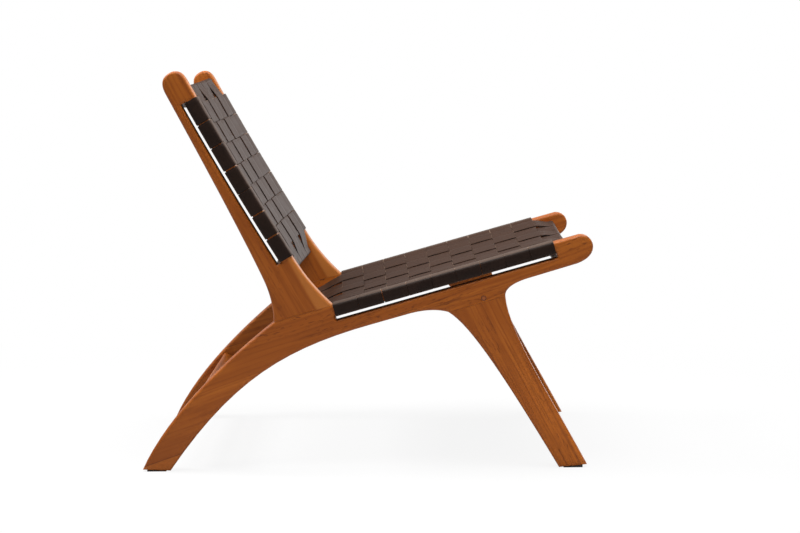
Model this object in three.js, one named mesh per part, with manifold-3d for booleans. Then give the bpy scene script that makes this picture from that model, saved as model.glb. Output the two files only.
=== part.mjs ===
// Lounge chair with a shaped wooden side frame and a seat and back woven from flat leather straps.
// Millimetres, +Z up, +X to the front, origin under the middle of the bounding box.
import * as THREE from 'three';
import { mergeVertices } from 'three/addons/utils/BufferGeometryUtils.js';
import Module from 'manifold-3d';

const wasm = await Module();
wasm.setup();
const { Manifold } = wasm;

// Overall sizes
const WIDTH = 600;
const FRAME_THICK = 34;
const EDGE_CHAMFER = 4;
const JOINT_GAP = 0.3;
const SEAT_RAKE = THREE.MathUtils.degToRad(15.35);
const BACK_LEAN = THREE.MathUtils.degToRad(30);

// Corner where the back post meets the seat rail, seen from the side
const CROOK_X = -60.5;
const CROOK_Z = 295.25;

// Seat rail, measured along the seat from the crook and down from its top
const SEAT_SPAN = 406;
const NOSE_LENGTH = 66.5;
const SEAT_BAR = 18.5;
const SEAT_SLOT = 9.5;
const RAIL_DEPTH = 52;
const NOSE_DEPTH = 47.5;

// Back post, measured up the back from the lowest strap and rearward from its front face
const POST_RISE = 112;
const POST_FLARE = 17.5;
const BACK_SPAN = 326;
const POST_HEAD = 59;
const POST_TOP_WIDTH = 44;
const POST_LOW_WIDTH = 63.5;
const POST_FOOT_LENGTH = 108;
const POST_FOOT_BEND = 56;
const POST_REAR_BEND = [98, -52];
const BACK_BAR = 21;
const BACK_SLOT = 9;
const BACK_HOLLOW = 2.6;
const SLOT_OVERRUN = 0.6;
const SLOT_CORNER = 2;
const BACK_SLOT_STEPS = 8;

// Legs and feet
const LEG_JOINT_DEPTH = 68;
const LEG_JOINT_LENGTH = 105;
const LEG_SETBACK = 173.5;
const FRONT_FOOT_X = 365;
const FRONT_FOOT_LENGTH = 50;
const FRONT_SOLE = [0.6, 5.5];
const REAR_FOOT_X = -377.5;
const REAR_FOOT_LENGTH = 49.5;
const REAR_SOLE = [3.5, 1.2];
const GLIDE_LENGTH = 34;
const GLIDE_WIDE = 26;
const GLIDE_PIN_RADIUS = 2.5;
const GLIDE_PIN_LENGTH = 14;

// Side curves: direction in degrees and reach of the tangent at each end of a curve
const REAR_EDGE_AT_FOOT = [66, 90];
const REAR_EDGE_AT_POST = [218, 130];
const ARCH_AT_FOOT = [55, 200];
const ARCH_REACH = 158;
const ARCH_START = 57;
const POST_HEEL_CURVE = [91, 35];
const POST_NECK_CURVE = [295, 25];
const POST_NECK_DROP = 4;
const LEG_FRONT_AT_JOINT = [-86, 60];
const LEG_FRONT_AT_FOOT = [118, 150];
const LEG_REAR_AT_FOOT = [120.5, 224];
const LEG_REAR_AT_JOINT = [-32, 40];
const LEG_FRONT_FILLET = 45;
const LEG_REAR_FILLET = 69.5;
const LEG_REAR_CORNER = 26.5;
const LEG_CUT_REACH = 40;
const HEAD_REAR_ROUND = 27;
const HEAD_FRONT_ROUND = 25;
const HEAD_CROWN = 20;
const NOSE_TOP_ROUND = 19;
const NOSE_TIP_DROP = 22;
const NOSE_LOW_ROUND = 36;

// Joinery
const TENON_THICK = 12;
const POST_TENON_DEPTH = 28;
const LEG_TENON_DEPTH = 26;
const TENON_SHOULDER = 16;
const RAIL_TENON_DEPTH = 9;
const RAIL_TENON_INSET = 4;
const PEG_RADIUS = 4.5;
const PEG_DEPTH = 28;
const PEG_RISE = 7;
const PEG_SETBACK = 38;

// Straps and weave
const STRAP_WIDTH = 43;
const STRAP_GAP = 2;
const STRAP_THICK = 2.5;
const WEAVE_GAP = 0.3;
const WEAVE_MARGIN = 10;
const SEAT_DISH = 28;
const BACK_DISH = 24.5;
const EDGE_DROP = 2;
const STRAP_TAIL = 5;

// Bowed cross rails that carry the lengthwise straps
const RAIL_WIDE = 32;
const RAIL_THICK = 20;
const RAIL_CHAMFER = 6;
const RAIL_REACH = 4;
const FRONT_RAIL_DROP = 9;
const FRONT_RAIL_BOW = 22;
const REAR_RAIL_DROP = 11;
const REAR_RAIL_BOW = 20;
const REAR_RAIL_REACH = 28;
const TOP_RAIL_DROP = 2;
const TOP_RAIL_BOW = 26;
const BOTTOM_RAIL_DROP = 8;
const BOTTOM_RAIL_BOW = 18;
const BOTTOM_RAIL_REACH = 9;

// Board between the rear legs
const STRETCHER_WIDE = 70;
const STRETCHER_THICK = 20;
const STRETCHER_CHAMFER = 3;
const STRETCHER_TILT = THREE.MathUtils.degToRad(56);
const STRETCHER_RAISE = 4;
const STRETCHER_AT_REAR = 0.365;
const STRETCHER_AT_ARCH = 0.76;

const HALF = WIDTH / 2;
const INNER = HALF - FRAME_THICK;
const SEAT_END = SEAT_SPAN + NOSE_LENGTH;
const LEG_FRONT = SEAT_END - LEG_SETBACK;
const LEG_REAR = LEG_FRONT - LEG_JOINT_LENGTH;
const POST_MID_Y = HALF - FRAME_THICK / 2;
const SKIN = STRAP_THICK / 2 + WEAVE_GAP;
const WEAVE_LIFT = STRAP_THICK / 2 + WEAVE_GAP / 2;

// Side-view frames: along the seat and up from its top, up the back and forward from its hollow face
const cosR = Math.cos(SEAT_RAKE);
const sinR = Math.sin(SEAT_RAKE);
const cosL = Math.cos(BACK_LEAN);
const sinL = Math.sin(BACK_LEAN);
const seat2 = (a, n) => [CROOK_X + a * cosR - n * sinR, CROOK_Z + a * sinR + n * cosR];
const BACK_X = CROOK_X - POST_RISE * sinL - POST_FLARE * cosL;
const BACK_Z = CROOK_Z + POST_RISE * cosL - POST_FLARE * sinL;
const headTop = BACK_SPAN + POST_HEAD;
const hollowEnd = headTop - HEAD_FRONT_ROUND;
const hollow = (b) => 4 * BACK_HOLLOW * Math.max(0, (b / hollowEnd) * (1 - b / hollowEnd));
const back2 = (b, m) => {
  const forward = m - hollow(b);
  return [BACK_X - b * sinL + forward * cosL, BACK_Z + b * cosL + forward * sinL];
};
const inSeat = (a, y, n) => {
  const [x, z] = seat2(a, n);
  return [x, y, z];
};
const inBack = (b, y, m) => {
  const [x, z] = back2(b, m);
  return [x, y, z];
};

// Closed mesh from points and triangles, turned outside out when needed
function closed(points, triangles) {
  let volume = 0;
  for (const [i, j, k] of triangles) {
    const p = points[i];
    const q = points[j];
    const r = points[k];
    volume += p[0] * (q[1] * r[2] - q[2] * r[1]);
    volume += p[1] * (q[2] * r[0] - q[0] * r[2]);
    volume += p[2] * (q[0] * r[1] - q[1] * r[0]);
  }
  const faces = volume < 0 ? triangles.map(([i, j, k]) => [i, k, j]) : triangles;
  const geometry = new THREE.BufferGeometry();
  geometry.setAttribute('position', new THREE.Float32BufferAttribute(points.flat(), 3));
  geometry.setIndex(faces.flat());
  return geometry;
}

function toManifold(source) {
  const bare = new THREE.BufferGeometry();
  bare.setAttribute('position', source.getAttribute('position'));
  if (source.index) {
    bare.setIndex(source.index);
  }
  const welded = mergeVertices(bare, 1e-4);
  return new Manifold(new wasm.Mesh({
    numProp: 3,
    vertProperties: new Float32Array(welded.getAttribute('position').array),
    triVerts: new Uint32Array(welded.index.array),
  }));
}

function toGeometry(manifold) {
  const mesh = manifold.getMesh();
  const geometry = new THREE.BufferGeometry();
  geometry.setAttribute('position', new THREE.Float32BufferAttribute(mesh.vertProperties, 3));
  geometry.setIndex([...mesh.triVerts]);
  return geometry;
}

// Solid between rings of equal point count, with flat ends
function loft(rings) {
  const count = rings[0].length;
  const points = rings.flat();
  const triangles = [];
  for (let k = 0; k + 1 < rings.length; k += 1) {
    for (let i = 0; i < count; i += 1) {
      const j = (i + 1) % count;
      const p = k * count;
      triangles.push([p + i, p + j, p + count + j], [p + i, p + count + j, p + count + i]);
    }
  }
  const last = (rings.length - 1) * count;
  for (let i = 1; i + 1 < count; i += 1) {
    triangles.push([0, i + 1, i], [last, last + i, last + i + 1]);
  }
  return closed(points, triangles);
}

// Block between two corners of one of the side-view frames
function block(place, from, to) {
  const ring = (y) => [
    place(from[0], y, from[2]),
    place(to[0], y, from[2]),
    place(to[0], y, to[2]),
    place(from[0], y, to[2]),
  ];
  return toManifold(loft([ring(from[1]), ring(to[1])]));
}

// Eight-sided section of a bar with chamfered edges, from its near top edge round to the same edge
function barSection(u0, u1, top, thick, chamfer) {
  const low = top - thick;
  return [
    [u0 + chamfer, top],
    [u1 - chamfer, top],
    [u1, top - chamfer],
    [u1, low + chamfer],
    [u1 - chamfer, low],
    [u0 + chamfer, low],
    [u0, low + chamfer],
    [u0, top - chamfer],
  ];
}

// Points moved out from an open run of wood surface by one distance
function offsetRun(run, distance) {
  const turn = run[0][0] < run[1][0] ? 1 : -1;
  const normal = (p, q) => {
    const length = Math.hypot(q[0] - p[0], q[1] - p[1]);
    return [(-turn * (q[1] - p[1])) / length, (turn * (q[0] - p[0])) / length];
  };
  return run.map((point, i) => {
    const before = normal(run[Math.max(i - 1, 0)], run[Math.max(i, 1)]);
    const after = normal(run[Math.min(i, run.length - 2)], run[Math.min(i + 1, run.length - 1)]);
    const scale = distance / (1 + before[0] * after[0] + before[1] * after[1]);
    return [point[0] + (before[0] + after[0]) * scale, point[1] + (before[1] + after[1]) * scale];
  });
}

// Part of a strap that lies round a bar: over the top, down, under and up the far face
function wrap(section, leaving) {
  const run = section.slice(0, 7);
  const foot = run[6];
  run.push([foot[0], foot[1] + STRAP_TAIL]);
  const under = offsetRun(run, WEAVE_GAP);
  const over = offsetRun(run, WEAVE_GAP + STRAP_THICK);
  return leaving ? { over, under } : { over: over.reverse(), under: under.reverse() };
}

// Flat strap from its upper and lower lines, one set of places for each long edge
function strapSolid(over, under, nearEdge, farEdge) {
  const rings = over.map((p, i) => [
    nearEdge(p[0], p[1]),
    farEdge(p[0], p[1]),
    farEdge(under[i][0], under[i][1]),
    nearEdge(under[i][0], under[i][1]),
  ]);
  return loft(rings);
}

// Evenly spaced straps over a span: centres, counted from the span and the strap width
function strapCentres(from, to) {
  const count = Math.floor((to - from) / (STRAP_WIDTH + STRAP_GAP) + 0.01);
  const pitch = (to - from) / count;
  return Array.from({ length: count }, (_, i) => from + pitch * (i + 0.5));
}

const longCentres = strapCentres(-INNER + WEAVE_MARGIN, INNER - WEAVE_MARGIN);
const edges = (centre) => [centre - STRAP_WIDTH / 2, centre + STRAP_WIDTH / 2];
const dish = (depth) => (y) => EDGE_DROP + depth * (1 - (y / INNER) ** 2);

const pieces = [];
const add = (name, geometry) => pieces.push([name, geometry]);

// Side frame outline, drawn once and cut into seat rail with rear leg, back post and front leg
const outline = new THREE.Shape();
const lineTo = (p) => outline.lineTo(p[0], p[1]);
const bend = (c, p) => outline.quadraticCurveTo(c[0], c[1], p[0], p[1]);
const sweep = (c, d, p) => outline.bezierCurveTo(c[0], c[1], d[0], d[1], p[0], p[1]);
const along = (p, [degrees, length]) => {
  const angle = THREE.MathUtils.degToRad(degrees);
  return [p[0] + Math.cos(angle) * length, p[1] + Math.sin(angle) * length];
};
const curve = (p, c, d, q) => new THREE.CubicBezierCurve(
  new THREE.Vector2(...p),
  new THREE.Vector2(...c),
  new THREE.Vector2(...d),
  new THREE.Vector2(...q),
);

const heelRear = [REAR_FOOT_X - REAR_FOOT_LENGTH / 2, REAR_SOLE[0]];
const heelFront = [REAR_FOOT_X + REAR_FOOT_LENGTH / 2, REAR_SOLE[1]];
const toeRear = [FRONT_FOOT_X - FRONT_FOOT_LENGTH / 2, FRONT_SOLE[0]];
const toeFront = [FRONT_FOOT_X + FRONT_FOOT_LENGTH / 2, FRONT_SOLE[1]];
const crook = seat2(0, 0);
const postHeel = seat2(-POST_FOOT_LENGTH, 0);
const rakeDegrees = THREE.MathUtils.radToDeg(SEAT_RAKE);

const rearUpper = [
  heelRear,
  along(heelRear, REAR_EDGE_AT_FOOT),
  along(postHeel, REAR_EDGE_AT_POST),
  postHeel,
];
const archEnd = seat2(ARCH_START, -RAIL_DEPTH);
const rearLower = [
  archEnd,
  along(archEnd, [180 + rakeDegrees, ARCH_REACH]),
  along(heelFront, ARCH_AT_FOOT),
  heelFront,
];
const legFront = seat2(LEG_FRONT, -LEG_JOINT_DEPTH);
const legRear = seat2(LEG_REAR, -LEG_JOINT_DEPTH);
const postNeck = back2(-POST_NECK_DROP, -POST_LOW_WIDTH);
const postRound = back2(headTop - HEAD_REAR_ROUND, -POST_TOP_WIDTH);

outline.moveTo(...heelRear);
sweep(rearUpper[1], rearUpper[2], rearUpper[3]);
sweep(along(postHeel, POST_HEEL_CURVE), along(postNeck, POST_NECK_CURVE), postNeck);
bend(back2(...POST_REAR_BEND), postRound);
bend(back2(headTop, 1.5 - POST_TOP_WIDTH), back2(headTop, -HEAD_CROWN));
bend(back2(headTop, 0), back2(headTop - HEAD_FRONT_ROUND, 0));
bend(back2(hollowEnd / 2, -BACK_HOLLOW), back2(0, 0));
bend(back2(-POST_FOOT_BEND, 0), crook);
lineTo(seat2(SEAT_END - NOSE_TOP_ROUND, 0));
bend(seat2(SEAT_END, -3), seat2(SEAT_END, -NOSE_TIP_DROP));
bend(seat2(SEAT_END - 3, 3 - NOSE_DEPTH), seat2(SEAT_END - NOSE_LOW_ROUND, -NOSE_DEPTH));
lineTo(seat2(LEG_FRONT + LEG_FRONT_FILLET, -NOSE_DEPTH - 1.5));
bend(seat2(LEG_FRONT + 4, -NOSE_DEPTH - 3), legFront);
sweep(along(legFront, LEG_FRONT_AT_JOINT), along(toeFront, LEG_FRONT_AT_FOOT), toeFront);
lineTo(toeRear);
sweep(along(toeRear, LEG_REAR_AT_FOOT), along(legRear, LEG_REAR_AT_JOINT), legRear);
bend(seat2(LEG_REAR - LEG_REAR_CORNER, -RAIL_DEPTH), seat2(LEG_REAR - LEG_REAR_FILLET, -RAIL_DEPTH));
lineTo(archEnd);
sweep(rearLower[1], rearLower[2], rearLower[3]);
outline.closePath();

// Long slot with rounded corners along a span of a side-view frame, its sides in short steps
function slotHole(place, span, near, far, steps) {
  const path = new THREE.Path();
  const toward = Math.sign(far - near) * SLOT_CORNER;
  const start = -SLOT_OVERRUN;
  const end = span + SLOT_OVERRUN;
  const from = start + SLOT_CORNER;
  const to = end - SLOT_CORNER;
  const side = (k, level) => path.lineTo(...place(from + ((to - from) * k) / steps, level));
  path.moveTo(...place(from, near));
  path.quadraticCurveTo(...place(start, near), ...place(start, near + toward));
  path.lineTo(...place(start, far - toward));
  path.quadraticCurveTo(...place(start, far), ...place(from, far));
  for (let k = 1; k <= steps; k += 1) {
    side(k, far);
  }
  path.quadraticCurveTo(...place(end, far), ...place(end, far - toward));
  path.lineTo(...place(end, near + toward));
  path.quadraticCurveTo(...place(end, near), ...place(to, near));
  for (let k = steps - 1; k > 0; k -= 1) {
    side(k, near);
  }
  path.closePath();
  return path;
}
outline.holes.push(slotHole(seat2, SEAT_SPAN, -SEAT_BAR, -SEAT_BAR - SEAT_SLOT, 1));
outline.holes.push(slotHole(back2, BACK_SPAN, -BACK_BAR - BACK_SLOT, -BACK_BAR, BACK_SLOT_STEPS));

const slab = new THREE.ExtrudeGeometry(outline, {
  depth: FRAME_THICK - 2 * EDGE_CHAMFER,
  bevelThickness: EDGE_CHAMFER,
  bevelSize: EDGE_CHAMFER,
  bevelOffset: -EDGE_CHAMFER,
  bevelSegments: 1,
  curveSegments: 8,
});
slab.translate(0, 0, INNER + EDGE_CHAMFER);
slab.rotateX(Math.PI / 2);
const frame = toManifold(slab);

// Cross rails, bowed so that the woven panel is dished, with a tenon at each end
function crossRail(place, from, top, depth) {
  const sag = dish(depth);
  const section = barSection(from, from + RAIL_WIDE, top, RAIL_THICK, RAIL_CHAMFER);
  const end = INNER - JOINT_GAP / 2;
  const stations = [-end, ...longCentres.flatMap(edges), end];
  const bar = toManifold(loft(stations.map((y) => section.map(([u, n]) => place(u, y, n - sag(y))))));
  const tenonTop = top - RAIL_TENON_INSET - sag(INNER);
  const tenonLow = top - RAIL_THICK + RAIL_TENON_INSET - sag(INNER);
  const u0 = from + RAIL_TENON_INSET;
  const u1 = from + RAIL_WIDE - RAIL_TENON_INSET;
  const reach = INNER + RAIL_TENON_DEPTH;
  const tenon = (side) => block(place, [u0, side * (INNER - 3), tenonLow], [u1, side * reach, tenonTop]);
  const c = JOINT_GAP;
  const mortise = block(
    place,
    [u0 - c, -reach - c, tenonLow - c],
    [u1 + c, -INNER + 2, tenonTop + c],
  );
  return { solid: bar.add(tenon(1)).add(tenon(-1)), section, mortise, sag };
}
const frontRail = crossRail(inSeat, SEAT_SPAN + RAIL_REACH, -SKIN - FRONT_RAIL_DROP, FRONT_RAIL_BOW);
const rearFrom = -REAR_RAIL_REACH - RAIL_WIDE;
const rearRail = crossRail(inSeat, rearFrom, -SKIN - REAR_RAIL_DROP, REAR_RAIL_BOW);
const topRail = crossRail(inBack, BACK_SPAN + RAIL_REACH, -SKIN - TOP_RAIL_DROP, TOP_RAIL_BOW);
const bottomFrom = -BOTTOM_RAIL_REACH - RAIL_WIDE;
const bottomRail = crossRail(inBack, bottomFrom, -SKIN - BOTTOM_RAIL_DROP, BOTTOM_RAIL_BOW);

// Flat board between the rear legs, centred in their width
const upperMid = curve(...rearUpper).getPoint(STRETCHER_AT_REAR);
const lowerMid = curve(...rearLower).getPoint(STRETCHER_AT_ARCH);
const boardX = (upperMid.x + lowerMid.x) / 2;
const boardZ = (upperMid.y + lowerMid.y) / 2;
const cosT = Math.cos(STRETCHER_TILT);
const sinT = Math.sin(STRETCHER_TILT);
const inBoard = (u, y, n) => [boardX + u * cosT - n * sinT, y, boardZ + u * sinT + n * cosT];
const boardSection = barSection(
  -STRETCHER_WIDE / 2,
  STRETCHER_WIDE / 2,
  STRETCHER_THICK / 2 + STRETCHER_RAISE,
  STRETCHER_THICK,
  STRETCHER_CHAMFER,
);
const boardEnd = INNER - JOINT_GAP / 2;
const boardBar = loft([-boardEnd, boardEnd].map((y) => boardSection.map(([u, n]) => inBoard(u, y, n))));
const boardU = STRETCHER_WIDE / 2 - 2 * RAIL_TENON_INSET;
const boardLow = RAIL_TENON_INSET + STRETCHER_RAISE - STRETCHER_THICK / 2;
const boardHigh = STRETCHER_THICK / 2 + STRETCHER_RAISE - RAIL_TENON_INSET;
const boardReach = INNER + RAIL_TENON_DEPTH;
const boardTenon = (side) => block(
  inBoard,
  [-boardU, side * (INNER - 3), boardLow],
  [boardU, side * boardReach, boardHigh],
);
const stretcher = toManifold(boardBar).add(boardTenon(1)).add(boardTenon(-1));
const boardMortise = block(
  inBoard,
  [-boardU - JOINT_GAP, -boardReach - JOINT_GAP, boardLow - JOINT_GAP],
  [boardU + JOINT_GAP, -INNER + 2, boardHigh + JOINT_GAP],
);

// Upright tenons of the post and of the front leg, in the middle of the frame's thickness
function uprightTenon(from, to, low, high, clearance) {
  const half = TENON_THICK / 2 + clearance;
  return block(
    inSeat,
    [from - clearance, -POST_MID_Y - half, low - clearance],
    [to + clearance, -POST_MID_Y + half, high + clearance],
  );
}
const postTenon = (low, high, clearance) => uprightTenon(
  TENON_SHOULDER - POST_FOOT_LENGTH,
  -TENON_SHOULDER,
  low,
  high,
  clearance,
);
const legTenon = (low, high, clearance) => uprightTenon(
  LEG_REAR + 2 * TENON_SHOULDER,
  LEG_FRONT - TENON_SHOULDER,
  low,
  high,
  clearance,
);
const legTop = -LEG_JOINT_DEPTH;

// Peg through the front leg's tenon, flush with the outer face
function rod(radius, length) {
  const geometry = new THREE.CylinderGeometry(radius, radius, length, 20);
  geometry.translate(0, length / 2, 0);
  return geometry;
}
const [pegX, pegZ] = seat2(LEG_FRONT - PEG_SETBACK, legTop + PEG_RISE);
const peg = rod(PEG_RADIUS, PEG_DEPTH);
peg.translate(pegX, -HALF, pegZ);
const pegHole = rod(PEG_RADIUS + JOINT_GAP, PEG_DEPTH + JOINT_GAP + 5);
pegHole.translate(pegX, -HALF - 5, pegZ);
const pegBore = toManifold(pegHole);

// Flat glides under the feet, level below, sloped above like the sole, with a pin up into the leg
const soleMiddle = (sole) => (sole[0] + sole[1]) / 2;
function uprightRod(radius, x, from, to) {
  const upright = rod(radius, to - from);
  upright.rotateX(Math.PI / 2);
  upright.translate(x, -POST_MID_Y, from);
  return toManifold(upright);
}
function glideAt(x, sole, length) {
  const slope = (sole[1] - sole[0]) / length;
  const reach = GLIDE_LENGTH / 2;
  const top = (u) => soleMiddle(sole) + slope * u - JOINT_GAP;
  const ring = (y) => [
    [x - reach, y, 0],
    [x + reach, y, 0],
    [x + reach, y, top(reach)],
    [x - reach, y, top(-reach)],
  ];
  const pad = loft([ring(-POST_MID_Y - GLIDE_WIDE / 2), ring(-POST_MID_Y + GLIDE_WIDE / 2)]);
  const pin = uprightRod(GLIDE_PIN_RADIUS, x, top(0) / 2, soleMiddle(sole) + GLIDE_PIN_LENGTH);
  return toManifold(pad).add(pin);
}
function glideBore(x, sole) {
  const top = soleMiddle(sole) + GLIDE_PIN_LENGTH + JOINT_GAP;
  return uprightRod(GLIDE_PIN_RADIUS + JOINT_GAP, x, -GLIDE_PIN_LENGTH, top);
}

// The two cuts through the side frame leave a fine joint line each
const wide = [-HALF - 10, -INNER + 10];
const far = 4 * WIDTH;
const half = JOINT_GAP / 2;
const abovePost = (level) => block(inSeat, [-far, wide[0], level], [0.5, wide[1], far]);
const legCut = LEG_REAR - LEG_CUT_REACH;
const belowLeg = (level) => block(inSeat, [legCut, wide[0], -far], [far, wide[1], level]);
const mortises = frontRail.mortise.add(rearRail.mortise).add(boardMortise);
const backMortises = topRail.mortise.add(bottomRail.mortise);

const seatRail = frame
  .subtract(abovePost(-half))
  .subtract(belowLeg(legTop + half))
  .subtract(postTenon(-POST_TENON_DEPTH, 10, JOINT_GAP))
  .subtract(legTenon(legTop - 10, legTop + LEG_TENON_DEPTH, JOINT_GAP))
  .subtract(mortises)
  .subtract(pegBore)
  .subtract(glideBore(REAR_FOOT_X, REAR_SOLE));
const backPost = frame
  .intersect(abovePost(half))
  .subtract(backMortises)
  .add(postTenon(-POST_TENON_DEPTH, 10, 0));
const frontLeg = frame
  .intersect(belowLeg(legTop - half))
  .add(legTenon(legTop - 10, legTop + LEG_TENON_DEPTH, 0))
  .subtract(pegBore)
  .subtract(glideBore(FRONT_FOOT_X, FRONT_SOLE));

const pairs = [
  ['seat_rail_and_rear_leg', seatRail],
  ['back_post', backPost],
  ['front_leg', frontLeg],
  ['leg_peg', toManifold(peg)],
  ['rear_foot_glide', glideAt(REAR_FOOT_X, REAR_SOLE, REAR_FOOT_LENGTH)],
  ['front_foot_glide', glideAt(FRONT_FOOT_X, FRONT_SOLE, FRONT_FOOT_LENGTH)],
];
for (const [name, solid] of pairs) {
  add(`right_${name}`, toGeometry(solid));
  add(`left_${name}`, toGeometry(solid.mirror([0, 1, 0])));
}
add('seat_front_rail', toGeometry(frontRail.solid));
add('seat_rear_rail', toGeometry(rearRail.solid));
add('back_top_rail', toGeometry(topRail.solid));
add('back_bottom_rail', toGeometry(bottomRail.solid));
add('rear_stretcher', toGeometry(stretcher));

// Woven panel: straps across from side to side and straps along, each over one and under the next
function weavePanel(label, place, span, bar, depth, lowRail, highRail) {
  const sag = dish(depth);
  const cross = strapCentres(0, span);
  const barWood = barSection(INNER, HALF, 0, bar, EDGE_CHAMFER);
  const outer = wrap(barWood, true);
  const flip = ({ over, under }) => ({
    over: over.map(([y, n]) => [-y, n]).reverse(),
    under: under.map(([y, n]) => [-y, n]).reverse(),
  });
  const inner = flip(outer);
  cross.forEach((centre, i) => {
    const over = [...inner.over];
    const under = [...inner.under];
    longCentres.forEach((y, j) => {
      const level = (i + j) % 2 === 0 ? -WEAVE_LIFT : WEAVE_LIFT;
      for (const edge of edges(y)) {
        over.push([edge, level - sag(edge) + STRAP_THICK / 2]);
        under.push([edge, level - sag(edge) - STRAP_THICK / 2]);
      }
    });
    over.push(...outer.over);
    under.push(...outer.under);
    const [low, high] = edges(centre);
    const strap = strapSolid(over, under, (y, n) => place(low, y, n), (y, n) => place(high, y, n));
    add(`${label}_cross_strap_${String(i + 1).padStart(2, '0')}`, strap);
  });

  const mirrored = lowRail.section.map(([u, n]) => [-u, n]);
  const turned = [1, 0, 7, 6, 5, 4, 3, 2].map((k) => mirrored[k]);
  const first = flip(wrap(turned, true));
  const last = wrap(highRail.section, true);
  longCentres.forEach((y, j) => {
    const over = [...first.over];
    const under = [...first.under];
    cross.forEach((centre, i) => {
      const level = (i + j) % 2 === 0 ? WEAVE_LIFT : -WEAVE_LIFT;
      for (const edge of edges(centre)) {
        over.push([edge, level + STRAP_THICK / 2]);
        under.push([edge, level - STRAP_THICK / 2]);
      }
    });
    over.push(...last.over);
    under.push(...last.under);
    const [low, high] = edges(y);
    const sink = (u, at) => {
      if (u < 0) {
        return lowRail.sag(at);
      }
      return u > span ? highRail.sag(at) : sag(at);
    };
    const onEdge = (at) => (u, n) => place(u, at, n - sink(u, at));
    const strap = strapSolid(over, under, onEdge(low), onEdge(high));
    add(`${label}_long_strap_${String(j + 1).padStart(2, '0')}`, strap);
  });
}
weavePanel('seat', inSeat, SEAT_SPAN, SEAT_BAR, SEAT_DISH, rearRail, frontRail);
weavePanel('back', inBack, BACK_SPAN, BACK_BAR, BACK_DISH, bottomRail, topRail);

// All pieces together, centred over the origin
const box = new THREE.Box3();
for (const [, geometry] of pieces) {
  geometry.computeBoundingBox();
  box.union(geometry.boundingBox);
}
const shift = [-(box.min.x + box.max.x) / 2, -(box.min.y + box.max.y) / 2, -box.min.z];
const chair = new THREE.Group();
chair.name = 'woven_lounge_chair';
for (const [name, geometry] of pieces) {
  geometry.translate(...shift);
  const mesh = new THREE.Mesh(geometry);
  mesh.name = name;
  chair.add(mesh);
}

export default chair;
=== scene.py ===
import math

import bpy
from mathutils import Matrix, Vector


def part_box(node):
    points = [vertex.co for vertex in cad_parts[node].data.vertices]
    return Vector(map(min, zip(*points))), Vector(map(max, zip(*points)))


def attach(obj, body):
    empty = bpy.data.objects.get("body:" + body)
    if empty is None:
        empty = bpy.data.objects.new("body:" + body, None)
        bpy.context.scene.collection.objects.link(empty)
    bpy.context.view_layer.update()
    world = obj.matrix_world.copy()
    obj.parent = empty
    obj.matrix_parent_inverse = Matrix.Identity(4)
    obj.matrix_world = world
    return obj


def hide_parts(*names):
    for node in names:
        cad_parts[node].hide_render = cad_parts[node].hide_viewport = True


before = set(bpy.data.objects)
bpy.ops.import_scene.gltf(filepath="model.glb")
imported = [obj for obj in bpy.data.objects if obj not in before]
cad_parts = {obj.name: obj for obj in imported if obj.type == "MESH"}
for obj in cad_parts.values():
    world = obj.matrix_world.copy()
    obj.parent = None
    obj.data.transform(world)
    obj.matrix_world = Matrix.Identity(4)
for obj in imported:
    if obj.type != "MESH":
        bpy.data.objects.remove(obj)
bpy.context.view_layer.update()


# Side frames. Each side is a teak plank outline in three glued pieces: the seat rail that runs on
# into the rear leg, the back post that stands on it and the front leg under it. All edges are
# rounded over, and a long slot under each bar lets the straps through.
WIDTH = 0.600
FRAME_THICK = 0.034
EDGE_ROUND = 0.0050
JOINT = 0.0003
INNER = WIDTH / 2 - FRAME_THICK
RAKE_DEGREES = 15.35
RAKE = math.radians(RAKE_DEGREES)
LEAN = math.radians(30)
REAR_FOOT_X = -0.3775
FRONT_FOOT_X = 0.365
glide_low, glide_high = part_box("right_rear_foot_glide")
CENTRING = (glide_low[0] + glide_high[0]) / 2 - REAR_FOOT_X
CROOK_X = -0.0605 + CENTRING
CROOK_Z = 0.29525
POST_RISE = 0.112
POST_FLARE = 0.0175
BACK_X = CROOK_X - POST_RISE * math.sin(LEAN) - POST_FLARE * math.cos(LEAN)
BACK_Z = CROOK_Z + POST_RISE * math.cos(LEAN) - POST_FLARE * math.sin(LEAN)
SEAT_SPAN = 0.406
NOSE_LENGTH = 0.0665
SEAT_END = SEAT_SPAN + NOSE_LENGTH
SEAT_BAR = 0.0185
SEAT_SLOT = 0.0095
BACK_SPAN = 0.326
BACK_BAR = 0.021
BACK_SLOT = 0.009
SLOT_OVERRUN = 0.0006
SLOT_CORNER = 0.0020
RAIL_DEPTH = 0.052
NOSE_DEPTH = 0.0475
NOSE_TOP_ROUND = 0.019
NOSE_TIP_DROP = 0.022
NOSE_LOW_ROUND = 0.036
NOSE_EASE = 0.003
POST_HEAD = 0.059
HEAD = BACK_SPAN + POST_HEAD
HEAD_REAR_ROUND = 0.027
HEAD_FRONT_ROUND = 0.025
HEAD_CROWN = 0.020
HEAD_EASE = 0.0015
BACK_HOLLOW = 0.0026
HOLLOW_END = HEAD - HEAD_FRONT_ROUND
POST_TOP_WIDTH = 0.044
POST_LOW_WIDTH = 0.0635
POST_NECK_DROP = 0.004
POST_FOOT_LENGTH = 0.108
POST_FOOT_BEND = 0.056
POST_REAR_BEND = (0.098, -0.052)
ARCH_START = 0.057
LEG_SETBACK = 0.1735
LEG_JOINT_LENGTH = 0.105
LEG_FRONT = SEAT_END - LEG_SETBACK
LEG_REAR = LEG_FRONT - LEG_JOINT_LENGTH
LEG_JOINT = -0.068
LEG_FRONT_FILLET = 0.045
LEG_FRONT_CORNER = 0.004
LEG_REAR_FILLET = 0.0695
LEG_REAR_CORNER = 0.0265
REAR_SOLE = (0.0035, 0.0012)
FRONT_SOLE = (0.0006, 0.0055)
REAR_FOOT_HALF = 0.02475
FRONT_FOOT_HALF = 0.025
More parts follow.
